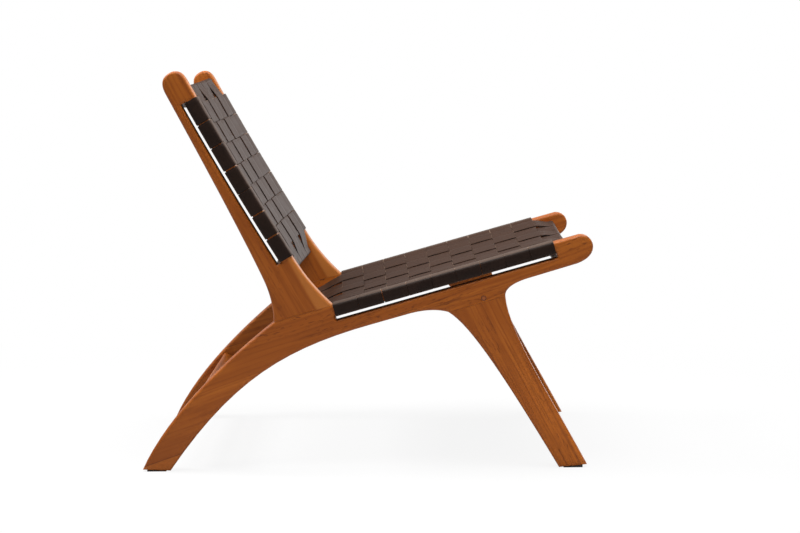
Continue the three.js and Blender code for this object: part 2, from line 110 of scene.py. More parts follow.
# Where a free curve ends: its heading there in degrees and how far it holds it
REAR_EDGE_AT_FOOT = (66, 0.090)
REAR_EDGE_AT_POST = (218, 0.130)
ARCH_AT_RAIL = (180 + RAKE_DEGREES, 0.158)
ARCH_AT_FOOT = (55, 0.200)
POST_AT_HEEL = (91, 0.035)
POST_AT_NECK = (295, 0.025)
LEG_FRONT_AT_JOINT = (-86, 0.060)
LEG_FRONT_AT_FOOT = (118, 0.150)
LEG_REAR_AT_FOOT = (120.5, 0.224)
LEG_REAR_AT_JOINT = (-32, 0.040)


def seat_point(a, n):
    x = CROOK_X + a * math.cos(RAKE) - n * math.sin(RAKE)
    return (x, CROOK_Z + a * math.sin(RAKE) + n * math.cos(RAKE))


def back_point(b, m):
    # Up the post, and forward from its front edge, which is planed a little hollow
    share = b / HOLLOW_END
    m = m - 4 * BACK_HOLLOW * max(0.0, share * (1 - share))
    x = BACK_X - b * math.sin(LEAN) + m * math.cos(LEAN)
    return (x, BACK_Z + b * math.cos(LEAN) + m * math.sin(LEAN))


def leading(point, degrees, reach):
    turn = math.radians(degrees)
    return (point[0] + math.cos(turn) * reach, point[1] + math.sin(turn) * reach)


def only(piece):
    bpy.ops.object.select_all(action="DESELECT")
    piece.select_set(True)
    bpy.context.view_layer.objects.active = piece


def draw_closed(curve, start, strokes):
    # A stroke ends with its end point. Before it come two handles for a free curve, one corner for
    # an even bend, or nothing for a straight line.
    ends = [start] + [stroke[-1] for stroke in strokes]
    spline = curve.splines.new("BEZIER")
    spline.bezier_points.add(len(strokes) - 1)
    spline.use_cyclic_u = True
    for i, point in enumerate(spline.bezier_points):
        point.handle_left_type = point.handle_right_type = "FREE"
        point.co = (*ends[i], 0)
    for i, stroke in enumerate(strokes):
        here = spline.bezier_points[i]
        there = spline.bezier_points[(i + 1) % len(strokes)]
        if len(stroke) == 3:
            first, second = stroke[0], stroke[1]
        elif len(stroke) == 2:
            first = [ends[i][k] + (stroke[0][k] - ends[i][k]) * 2 / 3 for k in (0, 1)]
            second = [stroke[1][k] + (stroke[0][k] - stroke[1][k]) * 2 / 3 for k in (0, 1)]
        else:
            first = [ends[i][k] + (stroke[0][k] - ends[i][k]) / 3 for k in (0, 1)]
            second = [ends[i][k] + (stroke[0][k] - ends[i][k]) * 2 / 3 for k in (0, 1)]
        if len(stroke) == 1:
            here.handle_right_type = there.handle_left_type = "VECTOR"
        here.handle_right = (*first, 0)
        there.handle_left = (*second, 0)


def draw_slot(curve, place, span, near, far, hollow=None):
    corner = SLOT_CORNER
    toward = corner if far > near else -corner
    start, end = -SLOT_OVERRUN, span + SLOT_OVERRUN

    def side(at, level):
        if hollow is None:
            return (place(at, level),)
        return (place(span / 2, level - hollow), place(at, level))

    strokes = [
        (place(start, near), place(start, near + toward)),
        (place(start, far - toward),),
        (place(start, far), place(start + corner, far)),
        side(end - corner, far),
        (place(end, far), place(end, far - toward)),
        (place(end, near + toward),),
        (place(end, near), place(end - corner, near)),
        side(start + corner, near),
    ]
    draw_closed(curve, place(start + corner, near), strokes)


heel_rear = (REAR_FOOT_X + CENTRING - REAR_FOOT_HALF, REAR_SOLE[0])
heel_front = (REAR_FOOT_X + CENTRING + REAR_FOOT_HALF, REAR_SOLE[1])
toe_rear = (FRONT_FOOT_X + CENTRING - FRONT_FOOT_HALF, FRONT_SOLE[0])
toe_front = (FRONT_FOOT_X + CENTRING + FRONT_FOOT_HALF, FRONT_SOLE[1])
post_heel = seat_point(-POST_FOOT_LENGTH, 0)
post_neck = back_point(-POST_NECK_DROP, -POST_LOW_WIDTH)
arch_end = seat_point(ARCH_START, -RAIL_DEPTH)
leg_front = seat_point(LEG_FRONT, LEG_JOINT)
leg_rear = seat_point(LEG_REAR, LEG_JOINT)

rear_edge = (
    heel_rear,
    leading(heel_rear, *REAR_EDGE_AT_FOOT),
    leading(post_heel, *REAR_EDGE_AT_POST),
    post_heel,
)
arch_edge = (
    arch_end,
    leading(arch_end, *ARCH_AT_RAIL),
    leading(heel_front, *ARCH_AT_FOOT),
    heel_front,
)
side_strokes = [
    rear_edge[1:],
    (leading(post_heel, *POST_AT_HEEL), leading(post_neck, *POST_AT_NECK), post_neck),
    (back_point(*POST_REAR_BEND), back_point(HEAD - HEAD_REAR_ROUND, -POST_TOP_WIDTH)),
    (back_point(HEAD, HEAD_EASE - POST_TOP_WIDTH), back_point(HEAD, -HEAD_CROWN)),
    (back_point(HEAD, 0), back_point(HOLLOW_END, 0)),
    (back_point(HOLLOW_END / 2, -BACK_HOLLOW), back_point(0, 0)),
    (back_point(-POST_FOOT_BEND, 0), seat_point(0, 0)),
    (seat_point(SEAT_END - NOSE_TOP_ROUND, 0),),
    (seat_point(SEAT_END, -NOSE_EASE), seat_point(SEAT_END, -NOSE_TIP_DROP)),
    (
        seat_point(SEAT_END - NOSE_EASE, NOSE_EASE - NOSE_DEPTH),
        seat_point(SEAT_END - NOSE_LOW_ROUND, -NOSE_DEPTH),
    ),
    (seat_point(LEG_FRONT + LEG_FRONT_FILLET, -NOSE_DEPTH - NOSE_EASE / 2),),
    (seat_point(LEG_FRONT + LEG_FRONT_CORNER, -NOSE_DEPTH - NOSE_EASE), leg_front),
    (leading(leg_front, *LEG_FRONT_AT_JOINT), leading(toe_front, *LEG_FRONT_AT_FOOT), toe_front),
    (toe_rear,),
    (leading(toe_rear, *LEG_REAR_AT_FOOT), leading(leg_rear, *LEG_REAR_AT_JOINT), leg_rear),
    (
        seat_point(LEG_REAR - LEG_REAR_CORNER, -RAIL_DEPTH),
        seat_point(LEG_REAR - LEG_REAR_FILLET, -RAIL_DEPTH),
    ),
    (arch_end,),
    arch_edge[1:],
    (heel_rear,),
]

bpy.ops.curve.primitive_bezier_curve_add()
side_blank = bpy.context.object
side_curve = side_blank.data
side_curve.splines.clear()
side_curve.dimensions = "2D"
side_curve.fill_mode = "BOTH"
side_curve.resolution_u = 14
side_curve.extrude = FRAME_THICK / 2 - EDGE_ROUND
side_curve.bevel_depth = EDGE_ROUND
side_curve.bevel_resolution = 3
side_curve.offset = -EDGE_ROUND
draw_closed(side_curve, heel_rear, side_strokes)
draw_slot(side_curve, seat_point, SEAT_SPAN, -SEAT_BAR, -SEAT_BAR - SEAT_SLOT)
slot_hollow = BACK_HOLLOW * (BACK_SPAN / HOLLOW_END) ** 2
draw_slot(side_curve, back_point, BACK_SPAN, -BACK_BAR - BACK_SLOT, -BACK_BAR, slot_hollow)
only(side_blank)
bpy.ops.object.convert(target="MESH")
side_blank = bpy.context.object
bpy.ops.object.mode_set(mode="EDIT")
bpy.ops.mesh.select_all(action="SELECT")
bpy.ops.mesh.remove_doubles(threshold=0.00002)
bpy.ops.mesh.normals_make_consistent(inside=False)
bpy.ops.object.mode_set(mode="OBJECT")
side_blank.rotation_euler = (math.pi / 2, 0, 0)
bpy.ops.object.transform_apply(location=True, rotation=True, scale=True)


BLOCK_WIDE = 0.2


def seat_block(a0, a1, n0, n1):
    middle = seat_point((a0 + a1) / 2, (n0 + n1) / 2)
    bpy.ops.mesh.primitive_cube_add(
        size=1,
        location=(middle[0], 0, middle[1]),
        rotation=(0, -RAKE, 0),
    )
    block = bpy.context.object
    block.scale = (a1 - a0, BLOCK_WIDE, n1 - n0)
    bpy.ops.object.transform_apply(location=True, rotation=True, scale=True)
    return block


def carve(piece, block, operation):
    tool = piece.modifiers.new("joint", "BOOLEAN")
    tool.operation = operation
    tool.solver = "EXACT"
    tool.object = block
    only(piece)
    bpy.ops.object.modifier_apply(modifier=tool.name)


def copy_of(piece, name):
    twin = piece.copy()
    twin.data = piece.data.copy()
    twin.name = twin.data.name = name
    bpy.context.collection.objects.link(twin)
    return twin


def smooth_wood(piece):
    only(piece)
    bpy.ops.object.shade_smooth_by_angle(angle=math.radians(32))
    even = piece.modifiers.new("even", "WEIGHTED_NORMAL")
    even.keep_sharp = True
    bpy.ops.object.modifier_apply(modifier=even.name)


def place_piece(piece, slot, *nodes):
    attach(piece, "root")
    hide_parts(*nodes)


class Shade:
    """A shader socket in a node tree; arithmetic on it adds Math nodes."""

    def __init__(self, tree, socket=None):
        self.tree = tree
        self.socket = socket

    def node(self, kind, inputs=(), out=0, **settings):
        made = self.tree.nodes.new(kind)
        for key, value in settings.items():
            setattr(made, key, value)
        for key, value in dict(inputs).items():
            if isinstance(value, Shade):
                self.tree.links.new(value.socket, made.inputs[key])
            else:
                made.inputs[key].default_value = value
        return Shade(self.tree, made.outputs[out] if made.outputs else None)

    def sum_of(self, operation, *values):
        return self.node("ShaderNodeMath", dict(enumerate(values)), operation=operation)

    def __add__(self, other):
        return self.sum_of("ADD", self, other)

    __radd__ = __add__

    def __sub__(self, other):
        return self.sum_of("SUBTRACT", self, other)

    def __rsub__(self, other):
        return self.sum_of("SUBTRACT", other, self)

    def __mul__(self, other):
        return self.sum_of("MULTIPLY", self, other)

    __rmul__ = __mul__

    def between(self, low, high):
        return self.node(
            "ShaderNodeMapRange",
            {"Value": self, "From Min": low, "From Max": high},
            interpolation_type="SMOOTHSTEP",
        )

    def tint(self, first, second):
        # Mix of two colours by this value
        return self.node("ShaderNodeMix", {0: self, 6: first, 7: second}, out=2, data_type="RGBA")


def start_finish(name):
    finish = bpy.data.materials.new(name)
    finish.use_nodes = True
    finish.node_tree.nodes.clear()
    return finish, Shade(finish.node_tree)


def close_finish(shade, values):
    surface = shade.node("ShaderNodeBsdfPrincipled", values)
    shade.node("ShaderNodeOutputMaterial", {"Surface": surface})


TEAK_LIGHT = (0.350, 0.098, 0.0108, 1.0)
TEAK_MID = (0.285, 0.072, 0.0066, 1.0)
TEAK_DEEP = (0.195, 0.045, 0.0040, 1.0)
TEAK_VEIN = (0.078, 0.016, 0.0028, 1.0)
# Pale tone for the painted highlight along the back post's front edge
TEAK_RIM_LIGHT = (0.400, 0.135, 0.0260, 1.0)
# Paler tone for the painted sheen low on the front leg
TEAK_TOE_SHEEN = (0.440, 0.118, 0.0110, 1.0)


def teak(
    name, turn, drift, figure, veins, dark_band=None, glue_line=None, painted_rim_light=None, foot=None
):
    """Oiled teak whose grain the turn, in degrees, lays along the board's first axis.

    The foot is a tone mixed in towards the floor, its share at the floor and the height where it
    has faded out; on the front leg it is a painted sheen.
    """
    finish, shade = start_finish(name)
    spot = shade.node("ShaderNodeTexCoord", out="Object")
    board = shade.node(
        "ShaderNodeMapping",
        {"Vector": spot, "Rotation": [math.radians(a) for a in turn]},
    )
    height = shade.node("ShaderNodeSeparateXYZ", {0: board}, out="Z")
    board = shade.node("ShaderNodeVectorMath", {0: board, 1: drift}, operation="ADD")

    def grain(along, across, detail, source):
        stretch = {"Vector": source, "Scale": (along, across, across)}
        stretched = shade.node("ShaderNodeMapping", stretch)
        plain = {"Vector": stretched, "Scale": 1.0, "Detail": detail}
        return shade.node("ShaderNodeTexNoise", plain, out="Fac")

    slow = shade.node("ShaderNodeMapping", {"Vector": board, "Scale": (3.5, 9, 9)})
    wander = {"Vector": slow, "Scale": 1.0, "Detail": 1.0}
    sway = shade.node("ShaderNodeTexNoise", wander, out="Color")
    swayed = shade.node(
        "ShaderNodeVectorMath",
        {0: sway, 1: (0.0, 0.024, 0.024), 2: board},
        operation="MULTIPLY_ADD",
    )
    broad = grain(2.4, 40, 2.0, swayed)
    lines = grain(4, 210, 3.0, swayed)
    streaks = grain(4.5, 250, 2.0, swayed)
    gather = grain(4, 26, 2.0, board)
    pores = grain(85, 480, 2.0, swayed)
    body = broad.between(0.30, 0.70).tint(TEAK_LIGHT, TEAK_MID)
    # Towards the floor the wood takes the foot's tone; on the front leg this is a painted sheen
    if foot:
        tone, share, reach = foot
        above_floor = shade.node("ShaderNodeSeparateXYZ", {0: spot}, out="Z")
        body = ((1 - above_floor.between(0.0, reach)) * share).tint(body, tone)
    body = (broad.between(0.46, 0.74) * figure).tint(body, TEAK_DEEP)
    body = (lines.between(0.42, 0.70) * 0.70).tint(body, TEAK_DEEP)
    crowd = gather.between(0.46, 0.64)
    if dark_band:
        middle, reach = dark_band
        off = height - middle
        crowd = crowd + 1 - off.sum_of("ABSOLUTE", off).between(reach * 0.3, reach)
    vein = streaks.between(0.60, 0.69) * crowd * veins
    body = vein.tint(body, TEAK_VEIN)
    fleck = pores.between(0.58, 0.66) * crowd * veins
    body = fleck.tint(body, TEAK_VEIN)
    if glue_line:
        above_line = height.between(glue_line - 0.0002, glue_line + 0.0002)
        body = (above_line * 0.50 + 0.50).tint(TEAK_LIGHT, body)
        off = height - glue_line
        on_line = 1 - off.sum_of("ABSOLUTE", off).between(0.0003, 0.0011)
        body = (on_line * 0.6).tint(body, TEAK_VEIN)
    # Painted highlight: a pale band along one edge of the board
    if painted_rim_light:
        body = ((1 - height.between(*painted_rim_light)) * 0.7).tint(body, TEAK_RIM_LIGHT)
    rough = 0.38 + pores * 0.10 + lines * 0.06
    bump = shade.node(
        "ShaderNodeBump",
        {"Height": pores * 0.6 + lines * 0.4, "Strength": 0.08, "Distance": 0.0005},
    )
    close_finish(
        shade,
        {"Base Color": body, "Roughness": rough, "Normal": bump, "Specular IOR Level": 0.20},
    )
    return finish


CLEAR_OF_ALL = 0.8
POST_CUT_END = 0.0006
LEG_CUT_REACH = 0.040
LEG_CUT_START = LEG_REAR - LEG_CUT_REACH
post_block = seat_block(-CLEAR_OF_ALL, POST_CUT_END, JOINT / 2, CLEAR_OF_ALL)
post_clear = seat_block(-CLEAR_OF_ALL, POST_CUT_END, -JOINT / 2, CLEAR_OF_ALL)
leg_block = seat_block(LEG_CUT_START, CLEAR_OF_ALL, -CLEAR_OF_ALL, LEG_JOINT - JOINT / 2)
leg_clear = seat_block(LEG_CUT_START, CLEAR_OF_ALL, -CLEAR_OF_ALL, LEG_JOINT + JOINT / 2)
teak_rail = teak(
    "teak_seat_rail",
    (0, 19, 0),
    (0.3, 0.02, 0.05),
    figure=0.45,
    veins=0.60,
    dark_band=(0.2965, 0.030),
    glue_line=0.1386,
    foot=(TEAK_DEEP, 0.90, 0.16),
)
teak_post = teak(
    "teak_back_post",
    (0, 119, 0),
    (1.3, 0.3, 0.32),
    figure=0.80,
    veins=0.40,
    # Painted highlight along the post's front edge
    painted_rim_light=(-0.066, -0.060),
    foot=(TEAK_DEEP, 0.50, 1.6),
)
teak_leg = teak(
    "teak_front_leg",
    (0, 117, 0),
    (2.1, 0.6, 0.11),
    figure=0.45,
    veins=0.55,
    # Painted sheen, lighter towards the floor
    foot=(TEAK_TOE_SHEEN, 0.95, 0.30),
)
rail_wood = copy_of(side_blank, "rail_wood")
carve(rail_wood, post_clear, "DIFFERENCE")
carve(rail_wood, leg_clear, "DIFFERENCE")
post_wood = copy_of(side_blank, "post_wood")
carve(post_wood, post_block, "INTERSECT")
leg_wood = copy_of(side_blank, "leg_wood")
carve(leg_wood, leg_block, "INTERSECT")
PEG_RADIUS = 0.0045
PEG_DEEP = 0.028
PEG_PLAY = 0.0002
PEG_EASE = 0.0004
PEG_SETBACK = 0.038
PEG_RISE = 0.007
peg_x, peg_z = seat_point(LEG_FRONT - PEG_SETBACK, LEG_JOINT + PEG_RISE)
bpy.ops.mesh.primitive_cylinder_add(
    vertices=40,
    radius=PEG_RADIUS + PEG_PLAY,
    depth=2 * PEG_DEEP,
    location=(peg_x, -FRAME_THICK / 2, peg_z),
    rotation=(math.pi / 2, 0, 0),
)
peg_drill = bpy.context.object
carve(rail_wood, peg_drill, "DIFFERENCE")


def mirrored(piece, name):
    twin = copy_of(piece, name)
    twin.data.transform(Matrix.Scale(-1, 4, (0, 1, 0)))
    twin.data.flip_normals()
    return twin


side_pieces = [
    (rail_wood, teak_rail, "seat_rail_and_rear_leg"),
    (post_wood, teak_post, "back_post"),
    (leg_wood, teak_leg, "front_leg"),
]
for shaped, finish, node in side_pieces:
    shaped.data.transform(Matrix.Translation((0, -(WIDTH - FRAME_THICK) / 2, 0)))
    shaped.data.materials.clear()
    shaped.data.materials.append(finish)
    shaped.name = shaped.data.name = f"right_{node}_shaped"
    other = mirrored(shaped, f"left_{node}_shaped")
    smooth_wood(shaped)
    smooth_wood(other)
    place_piece(shaped, "teak", f"right_{node}")
    place_piece(other, "teak", f"left_{node}")
for spare in (side_blank, post_block, post_clear, leg_block, leg_clear, peg_drill):
    bpy.data.objects.remove(spare)


# Leg pegs. A turned teak dowel is driven in from each outer face to lock the front leg's tenon, and
# is sanded off flush, so that its darker end grain shows as a small round dot.
def end_grain(name, centre):
    finish, shade = start_finish(name)
    spot = shade.node("ShaderNodeTexCoord", out="Object")
    centred = shade.node("ShaderNodeMapping", {"Vector": spot, "Location": [-c for c in centre]})
    rings = shade.node(
        "ShaderNodeTexWave",
        {"Vector": centred, "Scale": 260.0, "Distortion": 3.0, "Detail": 2.0, "Detail Scale": 90.0},
        out="Fac",
        wave_type="RINGS",
        rings_direction="Y",
    )
    fine = {"Vector": centred, "Scale": 2400.0, "Detail": 2.0}
    grit = shade.node("ShaderNodeTexNoise", fine, out="Fac")
    round_it = shade.node("ShaderNodeMapping", {"Vector": centred, "Scale": (1, 0, 1)})
    from_heart = shade.node("ShaderNodeVectorMath", {0: round_it}, out="Value", operation="LENGTH")
    body = (rings * 0.5 + grit * 0.5).between(0.2, 0.8).tint(TEAK_MID, TEAK_DEEP)
    body = from_heart.between(PEG_RADIUS * 0.62, PEG_RADIUS * 0.90).tint(body, TEAK_VEIN)
    rough = 0.55 + grit * 0.2
    close_finish(shade, {"Base Color": body, "Roughness": rough})
    return finish


bpy.ops.mesh.primitive_cylinder_add(
    vertices=40,
    radius=PEG_RADIUS,
    depth=PEG_DEEP,
    location=(peg_x, -WIDTH / 2 + PEG_DEEP / 2 + PEG_PLAY, peg_z),
    rotation=(math.pi / 2, 0, 0),
)
peg = bpy.context.object
peg.name = "right_peg_dowel"
bpy.ops.object.transform_apply(location=True, rotation=True, scale=True)
ease = peg.modifiers.new("ease", "BEVEL")
ease.width = PEG_EASE
ease.segments = 2
ease.limit_method = "ANGLE"
bpy.ops.object.modifier_apply(modifier=ease.name)
bpy.ops.object.shade_smooth_by_angle(angle=math.radians(40))
peg.data.materials.append(end_grain("teak_end_grain", (peg_x, 0, peg_z)))
other_peg = mirrored(peg, "left_peg_dowel")
place_piece(peg, "teak", "right_leg_peg")
place_piece(other_peg, "teak", "left_leg_peg")


# Cross rails. Four bowed teak bars tie the two sides together and carry the long straps; each is
# planed to a rounded section, steam bent to the dish of the weave and tenoned into the frames.
STRAP_THICK = 0.0025
WEAVE_GAP = 0.0003
SKIN = STRAP_THICK / 2 + WEAVE_GAP
RAIL_WIDE = 0.032
RAIL_DEEP = 0.020
RAIL_ROUND = 0.006
RAIL_REACH = 0.004
REAR_RAIL_START = -0.060
BOTTOM_RAIL_START = -0.041
RAIL_END_PLAY = 0.0001
RAIL_STATIONS = 24
EDGE_DROP = 0.002


def sag(y, dish):
    return EDGE_DROP + dish * max(0.0, 1 - (y / INNER) ** 2)


def face_outward(piece):
    only(piece)
    bpy.ops.object.mode_set(mode="EDIT")
    bpy.ops.mesh.select_all(action="SELECT")
    bpy.ops.mesh.normals_make_consistent(inside=False)
    bpy.ops.object.mode_set(mode="OBJECT")


def settle(piece, place, dish=None):
    # From lengths along, across and up to the side view, with the dish taken off the height
    for vertex in piece.data.vertices:
        along, y, up = vertex.co
        x, z = place(along, up if dish is None else up - sag(y, dish))
        vertex.co = (x, y, z)
    face_outward(piece)


def long_bar(name, start, wide, top, deep, round_over, stations):
    end = INNER - RAIL_END_PLAY
    step = 2 * end / stations
    bpy.ops.mesh.primitive_plane_add(
        size=1,
        location=(start + wide / 2, -end, top - deep / 2),
        rotation=(math.pi / 2, 0, 0),
    )
    bar = bpy.context.object
    bar.name = bar.data.name = name
    bar.scale = (wide, deep, 1)
    bpy.ops.object.transform_apply(location=True, rotation=True, scale=True)
    bpy.ops.object.mode_set(mode="EDIT")
    bpy.ops.mesh.select_all(action="SELECT")
    bpy.ops.mesh.bevel(offset=round_over, segments=4, affect="VERTICES")
    for _ in range(stations):
        bpy.ops.mesh.extrude_region_move(TRANSFORM_OT_translate={"value": (0, step, 0)})
    bpy.ops.object.mode_set(mode="OBJECT")
    return bar


teak_across = teak("teak_across", (0, 0, -90), (0.7, 1.1, 0.2), figure=0.4, veins=0.4)
# Each rail's node, the edge that it follows, where on it the rail starts, its top and its bow
cross_rails = [
    ("seat_front_rail", seat_point, SEAT_SPAN + RAIL_REACH, -SKIN - 0.009, 0.022),
    ("seat_rear_rail", seat_point, REAR_RAIL_START, -SKIN - 0.011, 0.020),
    ("back_top_rail", back_point, BACK_SPAN + RAIL_REACH, -SKIN - 0.002, 0.026),
    ("back_bottom_rail", back_point, BOTTOM_RAIL_START, -SKIN - 0.008, 0.018),
]
for node, place, start, top, bow in cross_rails:
    bar = long_bar(f"{node}_bent", start, RAIL_WIDE, top, RAIL_DEEP, RAIL_ROUND, RAIL_STATIONS)
    settle(bar, place, bow)
    bar.data.materials.append(teak_across)
    smooth_wood(bar)
    place_piece(bar, "teak", node)


# Rear board. A flat teak board stands between the rear legs and stops the frame racking; its edges
# are eased and its ends are tenoned into the legs.
BOARD_WIDE = 0.070
BOARD_THICK = 0.020
BOARD_RAISE = 0.004
BOARD_ROUND = 0.005
BOARD_TILT = math.radians(56)
BOARD_UP_REAR_EDGE = 0.365
BOARD_DOWN_ARCH = 0.76


def on_curve(points, t):
    weights = ((1 - t) ** 3, 3 * t * (1 - t) ** 2, 3 * t * t * (1 - t), t ** 3)
    return [sum(w * p[k] for w, p in zip(weights, points)) for k in (0, 1)]


upper = on_curve(rear_edge, BOARD_UP_REAR_EDGE)
under = on_curve(arch_edge, BOARD_DOWN_ARCH)
board_x, board_z = (upper[0] + under[0]) / 2, (upper[1] + under[1]) / 2


def board_point(u, n):
    x = board_x + u * math.cos(BOARD_TILT) - n * math.sin(BOARD_TILT)
    return (x, board_z + u * math.sin(BOARD_TILT) + n * math.cos(BOARD_TILT))


board_top = BOARD_THICK / 2 + BOARD_RAISE
board = long_bar(
    "rear_board", -BOARD_WIDE / 2, BOARD_WIDE, board_top, BOARD_THICK, BOARD_ROUND, 1
)
settle(board, board_point)
teak_board = teak("teak_board", (0, 0, -90), (1.9, 0.4, 0.6), figure=0.3, veins=0.4)
board.data.materials.append(teak_board)
smooth_wood(board)
place_piece(board, "teak", "rear_stretcher")


# Glides. A flat black nylon pad is nailed under each foot; its top lies against the sloping sole,
# its edges are softened and the bottom has worn level with the floor.
GLIDE_LONG = 0.034
GLIDE_WIDE = 0.026
GLIDE_EASE = 0.0003
glide_finish, shade = start_finish("black_nylon")
spot = shade.node("ShaderNodeTexCoord", out="Object")
fine = {"Vector": spot, "Scale": 900.0, "Detail": 2.0}
speckle = shade.node("ShaderNodeTexNoise", fine, out="Fac")
body = speckle.tint((0.012, 0.011, 0.010, 1), (0.022, 0.020, 0.018, 1))
close_finish(shade, {"Base Color": body, "Roughness": 0.45 + speckle * 0.2})
feet = (
    ("rear", REAR_FOOT_X + CENTRING, REAR_SOLE, REAR_FOOT_HALF),
    ("front", FRONT_FOOT_X + CENTRING, FRONT_SOLE, FRONT_FOOT_HALF),
)
for side, y in (("right", -1), ("left", 1)):
    for end, x, sole, half_foot in feet:
        bpy.ops.mesh.primitive_cube_add(size=1, location=(x, y * (WIDTH - FRAME_THICK) / 2, 0.5))
        glide = bpy.context.object
        glide.name = f"{side}_{end}_glide_pad"
        glide.scale = (GLIDE_LONG, GLIDE_WIDE, 1)
        bpy.ops.object.transform_apply(location=True, rotation=True, scale=True)
        # The cube stands on the floor, and its top comes down to the sloping sole
        slope = (sole[1] - sole[0]) / (2 * half_foot)
        for vertex in glide.data.vertices:
            if vertex.co.z > 0.5:
                vertex.co.z = (sole[0] + sole[1]) / 2 + slope * (vertex.co.x - x) - JOINT
        ease = glide.modifiers.new("ease", "BEVEL")
        ease.width = GLIDE_EASE
        ease.segments = 2
        bpy.ops.object.modifier_apply(modifier=ease.name)
        bpy.ops.object.shade_smooth_by_angle(angle=math.radians(40))
        glide.data.materials.append(glide_finish)
        place_piece(glide, "glide", f"{side}_{end}_foot_glide")


# Straps. Flat strips of thick brown saddle leather are woven over one and under the next. Those
# across turn round both bars through the slots, those along turn round two cross rails, and each
# end comes up behind the bar, where it is tacked.
SEAT_DISH = 0.028
BACK_DISH = 0.0245
LONG_WIDE = 0.0456
CROSS_LIFT = 0.0007
LONG_LIFT = 0.0021
PILLOW = 0.0005
SOFT_EDGE = 0.0008
TAIL = 0.010
LEATHER_DARK = (0.0115, 0.0056, 0.0036, 1.0)
LEATHER_MID = (0.0160, 0.0077, 0.0048, 1.0)
# Face tone: partly wear, partly painted top light that keeps the face lighter than the wraps on the
# outer faces
LEATHER_WORN_AND_LIT = (0.0330, 0.0150, 0.0085, 1.0)
# Dark cut edge that also carries the painted shade of the gaps between the straps along
LEATHER_EDGE_AND_GAP_SHADE = (0.0050, 0.0027, 0.0020, 1.0)
# Tan cut edge, lightened as painted light on the straps across
LEATHER_TAN_EDGE_LIT = (0.2600, 0.1800, 0.1300, 1.0)
# Painted highlight along the strap tops over the bars
LEATHER_BAR_HIGHLIGHT = (0.0740, 0.0500, 0.0380, 1.0)


def saddle_leather(name, edge_tone_and_light):
    """Oiled leather: worn face with painted top light, painted bar-top highlight, painted edge
    light and shade.
    """
    finish, shade = start_finish(name)
    spot = shade.node("ShaderNodeTexCoord", out="Object")
    along = shade.node("ShaderNodeTexCoord", out="UV")
    across = shade.node("ShaderNodeSeparateXYZ", {0: along}, out="Y")
    inside = (1 - across.sum_of("ABSOLUTE", across)).between(0.0, 0.045)
    sideways = shade.node("ShaderNodeSeparateXYZ", {0: spot}, out="Y")
    off_middle = sideways.sum_of("ABSOLUTE", sideways)
    # 1 on the face inside the frames, 0 on the wraps over the outer faces; the face is worn and
    # carries painted top light
    worn_and_top_lit = 1 - off_middle.between(WIDTH / 2 - 0.001, WIDTH / 2 + 0.0015)
    # Band of painted highlight on the strap tops over the bars
    bar_top_highlight = worn_and_top_lit * off_middle.between(INNER, INNER + 0.010)
    patchy = {"Vector": spot, "Scale": 38.0, "Detail": 3.0}
    cloud = shade.node("ShaderNodeTexNoise", patchy, out="Fac")
    crease_place = shade.node("ShaderNodeMapping", {"Vector": along, "Scale": (120, 0.6, 1)})
    lengthwise = {"Vector": crease_place, "Scale": 1.0, "Detail": 3.0}
    crease = shade.node("ShaderNodeTexNoise", lengthwise, out="Fac")
    pebble = shade.node("ShaderNodeTexVoronoi", {"Vector": spot, "Scale": 950.0}, out="Distance")
    body = cloud.between(0.3, 0.7).tint(LEATHER_DARK, LEATHER_MID)
    # The face turns paler: partly wear, partly painted top light
    body = (worn_and_top_lit * (0.70 + cloud * 0.45)).tint(body, LEATHER_WORN_AND_LIT)
    # Painted highlight over the bars
    body = (bar_top_highlight * (0.35 + cloud * 0.60)).tint(body, LEATHER_BAR_HIGHLIGHT)
    # Cut edges on the face take the edge tint: painted light on the straps across, painted gap
    # shade on the straps along
    body = ((1 - inside) * cloud.between(0.35, 0.62) * worn_and_top_lit).tint(body, edge_tone_and_light)
    rough = 0.70 + cloud * 0.12 + pebble * 0.08 - inside * 0.25 + bar_top_highlight * 0.10
    bump = shade.node(
        "ShaderNodeBump",
        {"Height": pebble * 0.5 + crease * 0.6, "Strength": 0.22, "Distance": 0.0005},
    )
    close_finish(
        shade,
        {"Base Color": body, "Roughness": rough, "Normal": bump, "Specular IOR Level": 0.12},
    )
    return finish


# Two copies of one leather, differing only in the cut edge tint: painted light across, painted gap
# shade along
leather_across = saddle_leather("leather_across", LEATHER_TAN_EDGE_LIT)
leather_along = saddle_leather("leather_along", LEATHER_EDGE_AND_GAP_SHADE)


def rounded(corners, radius):
    # The path through the corners, with each inner corner turned into an arc
    steps = 6
    path = [Vector(corners[0])]
    for before, corner, after in zip(corners, corners[1:], corners[2:]):
        before, corner, after = Vector(before), Vector(corner), Vector(after)
        back, on = (before - corner).normalized(), (after - corner).normalized()
        bend = math.acos(max(-1.0, min(1.0, -back.dot(on))))
        reach = radius * math.tan(bend / 2)
        room = 0.49 * min((before - corner).length, (after - corner).length)
        reach = min(reach, room)
        first, last = corner + back * reach, corner + on * reach
        for k in range(steps + 1):
            t = k / steps
            path.append(first * (1 - t) ** 2 + corner * 2 * t * (1 - t) + last * t * t)
    path.append(Vector(corners[-1]))
    return path


EASE_STEPS = (0.12, 0.27, 0.42, 0.58, 0.73, 0.88)


def easing(start, end):
    # A nearly straight run with soft ends, where a strap leaves its rail for the weave
    run = []
    for t in EASE_STEPS:
        level = 0.7 * t + 0.3 * t * t * (3 - 2 * t)
        x = start[0] + (end[0] - start[0]) * t
        run.append(Vector((x, start[1] + (end[1] - start[1]) * level)))
    return run


